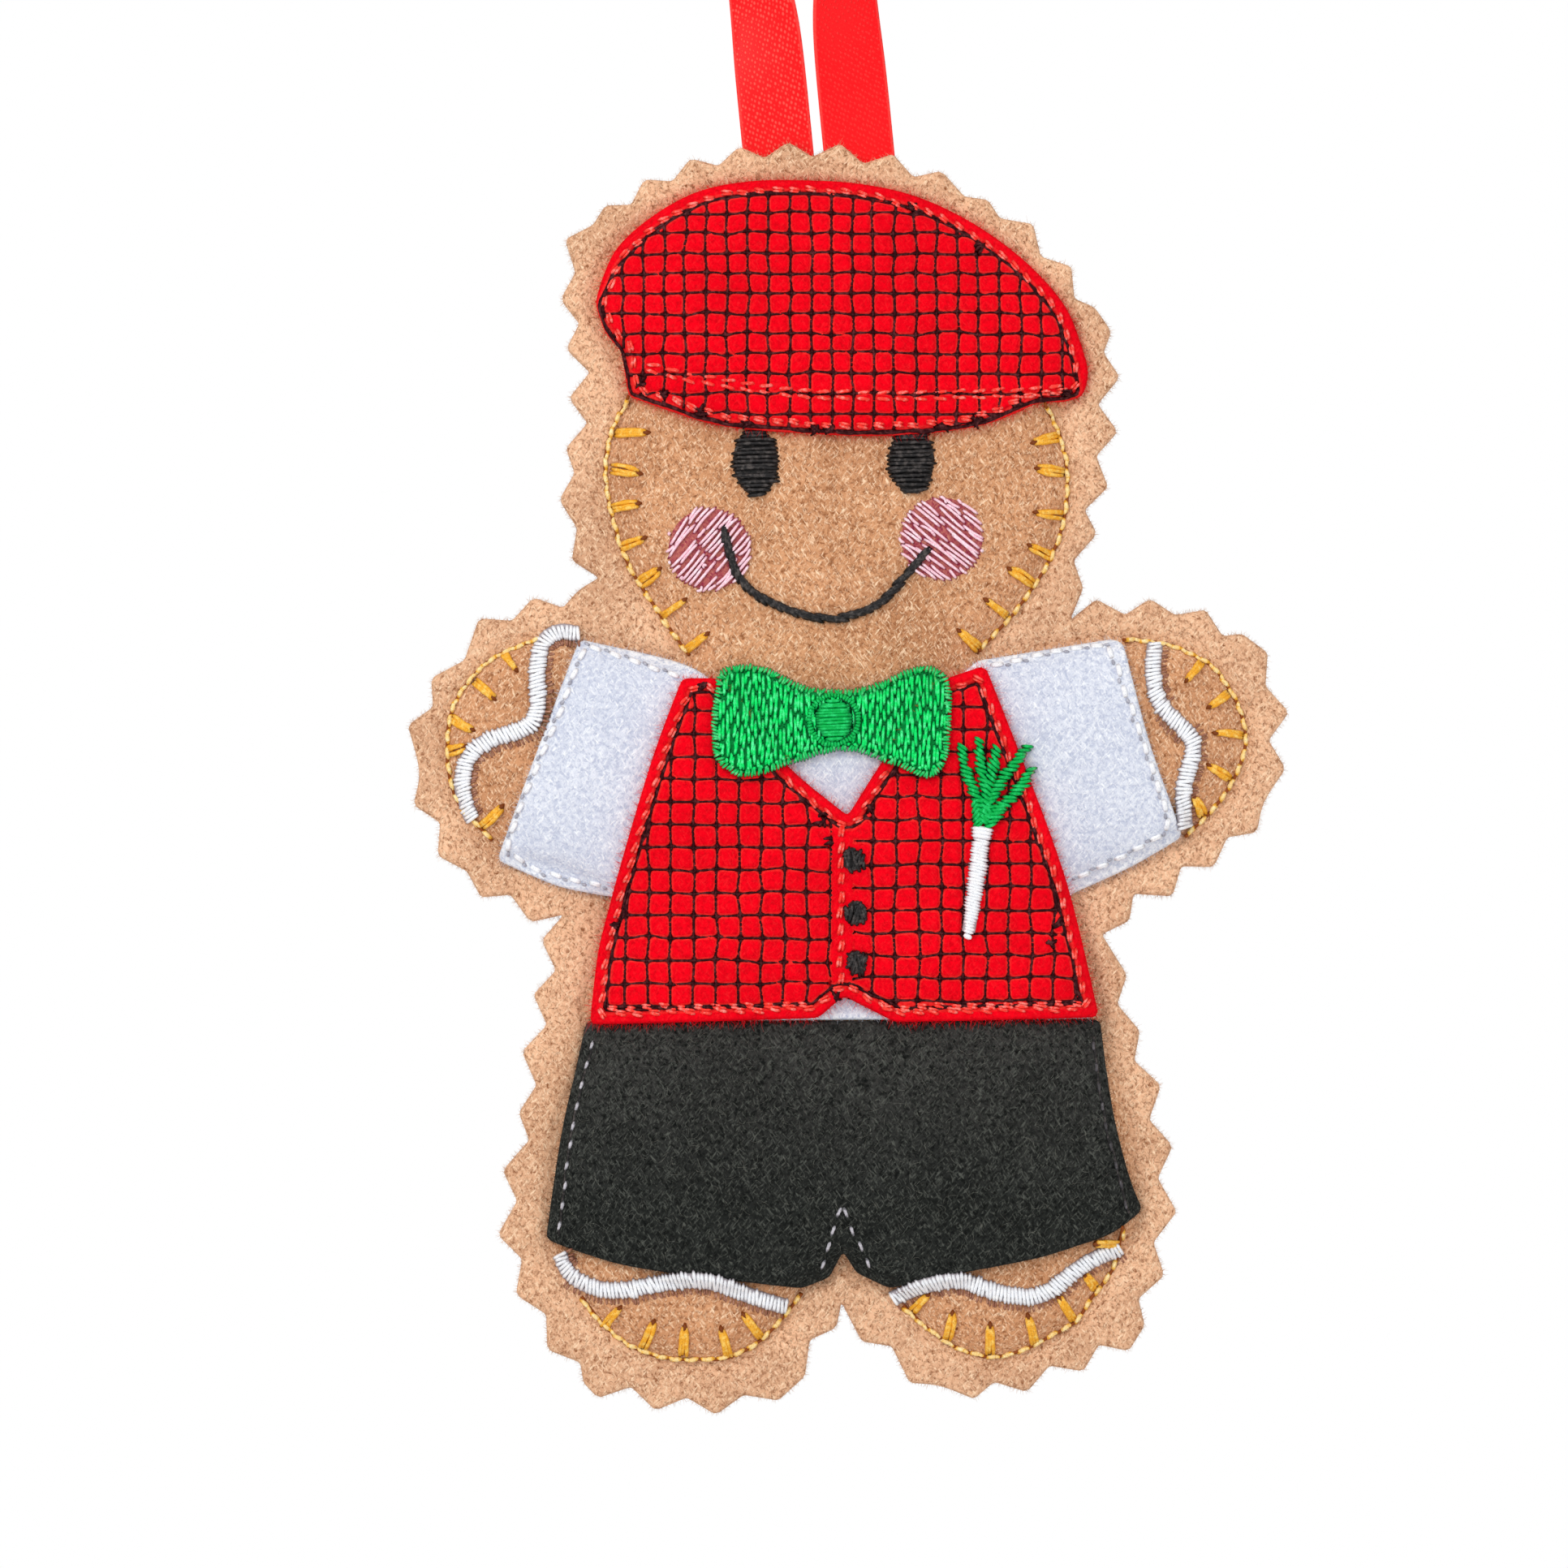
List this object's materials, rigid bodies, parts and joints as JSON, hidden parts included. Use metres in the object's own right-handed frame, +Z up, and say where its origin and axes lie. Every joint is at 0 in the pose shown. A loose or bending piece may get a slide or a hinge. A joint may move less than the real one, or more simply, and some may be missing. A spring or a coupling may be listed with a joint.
{
  "type": "felt christmas ornament",
  "caption": "Flat stuffed gingerbread figure of pinked felt with appliqued felt clothes, thread-stitched details and a ribbon loop to hang it by.",
  "frame": {"origin": "inside top of the ribbon loop, where a hook or twig bears", "axes": "+Z up along the figure's length, -Y out of the figure's front, +X to the right of someone who looks at the front"},
  "size_m": [0.0747, 0.0102, 0.1701],
  "materials": {
    "tan_felt": "matte mottled felt",
    "red_felt": "matte felt",
    "white_felt": "matte felt",
    "black_felt": "matte felt",
    "white_stabiliser": "matte non-woven sheet",
    "white_stuffing": "loose polyester fibre",
    "tan_thread": "satin thread",
    "red_ribbon": "satin ribbon",
    "plaid_thread": "satin thread",
    "red_thread": "satin thread",
    "white_thread": "satin thread",
    "green_thread": "satin thread",
    "pink_thread": "satin thread",
    "gold_thread": "satin thread",
    "black_thread": "satin thread"
  },
  "bodies": {
    "hanger": {"ribbon_loop": "red_ribbon"},
    "figure": {"front_felt_panel": "tan_felt", "back_felt_panel": "tan_felt", "stabiliser_sheet": "white_stabiliser", "fibre_stuffing": "white_stuffing", "seam_bobbin_thread": "tan_thread", "ribbon_end_left": "red_ribbon", "ribbon_end_right": "red_ribbon", "cap_felt": "red_felt", "cap_plaid_stitching": "plaid_thread", "cap_edge_stitching": "red_thread", "cap_brim_stitching": "red_thread", "shirt_felt": "white_felt", "sleeve_stitching_left": "white_thread", "sleeve_stitching_right": "white_thread", "vest_felt": "red_felt", "vest_plaid_stitching_left": "plaid_thread", "vest_plaid_stitching_right": "plaid_thread", "vest_edge_stitching": "red_thread", "vest_button_top": "black_thread", "vest_button_middle": "black_thread", "vest_button_bottom": "black_thread", "bow_tie_wings": "green_thread", "bow_tie_knot": "green_thread", "leek_stem": "white_thread", "leek_leaves": "green_thread", "shorts_felt": "black_felt", "shorts_side_stitching_left": "black_thread", "shorts_side_stitching_right": "black_thread", "shorts_crotch_stitching": "black_thread", "eye_left": "black_thread", "eye_right": "black_thread", "cheek_left": "pink_thread", "cheek_right": "pink_thread", "smile_stitching": "black_thread", "head_outline_left": "gold_thread", "head_outline_right": "gold_thread", "hand_outline_left": "gold_thread", "hand_outline_right": "gold_thread", "foot_outline_left": "gold_thread", "foot_outline_right": "gold_thread", "icing_left_hand": "white_thread", "icing_right_hand": "white_thread", "icing_left_foot": "white_thread", "icing_right_foot": "white_thread"}
  },
  "joints": [
    {"name": "ribbon_fold", "type": "hinge", "parent": "hanger", "child": "figure", "pos_m": [0.0035, 0, -0.0614], "axis": [1, 0, 0], "range_deg": [-90, 90]}
  ]
}
